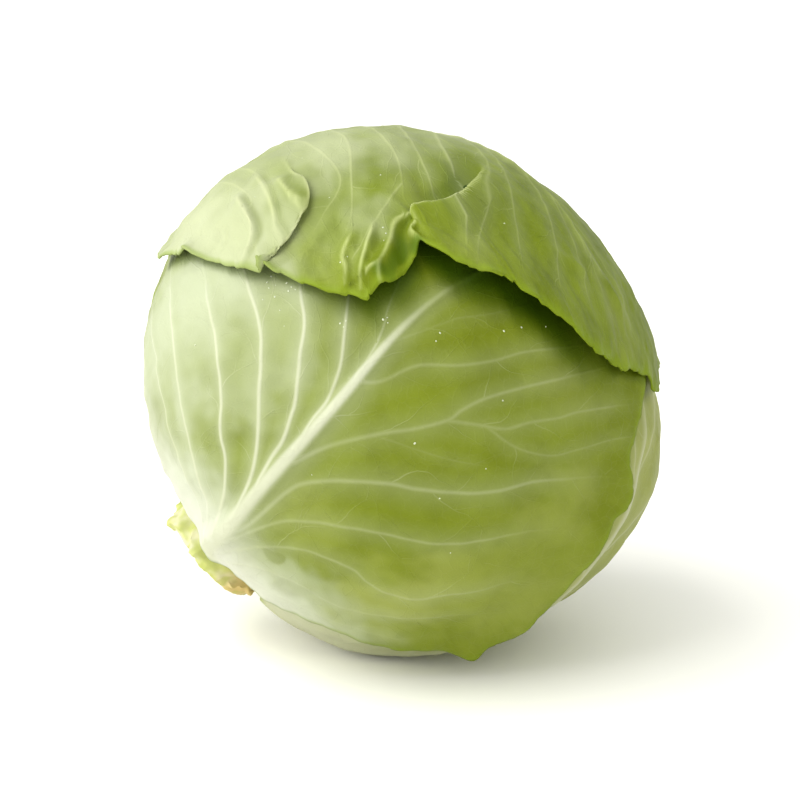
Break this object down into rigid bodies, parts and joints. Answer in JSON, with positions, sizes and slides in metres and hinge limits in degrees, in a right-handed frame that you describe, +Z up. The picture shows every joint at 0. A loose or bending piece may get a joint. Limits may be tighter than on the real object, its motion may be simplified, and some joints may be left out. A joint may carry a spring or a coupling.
{
  "type": "cabbage head",
  "caption": "Round green cabbage head lying on its side: stem butt with broken stalks, packed heart, and large overlapping wrapper leaves with folded and curled margins.",
  "frame": {"origin": "centre of the small flat spot that the head rests on", "axes": "+Z is up, away from the resting surface. The open front leaf faces -Y. The stem butt points to -X and 42 degrees below the horizontal, and the crown points to +X and upward."},
  "size_m": [0.1661, 0.1739, 0.1657],
  "materials": {
    "top_leaf": "waxy green leaf with pale veins",
    "front_leaf": "waxy green leaf with a thick whitish midrib and branching veins",
    "side_leaf": "waxy pale green leaf",
    "back_leaf": "waxy pale green leaf",
    "heart": "pale cream and green packed leaves",
    "stem": "pale yellow-green fibrous stem, browned where cut"
  },
  "bodies": {
    "root": {"top_leaf": "top_leaf", "front_leaf": "front_leaf", "side_leaf": "side_leaf", "back_leaf": "back_leaf", "heart": "heart", "stem": "stem"}
  },
  "joints": []
}
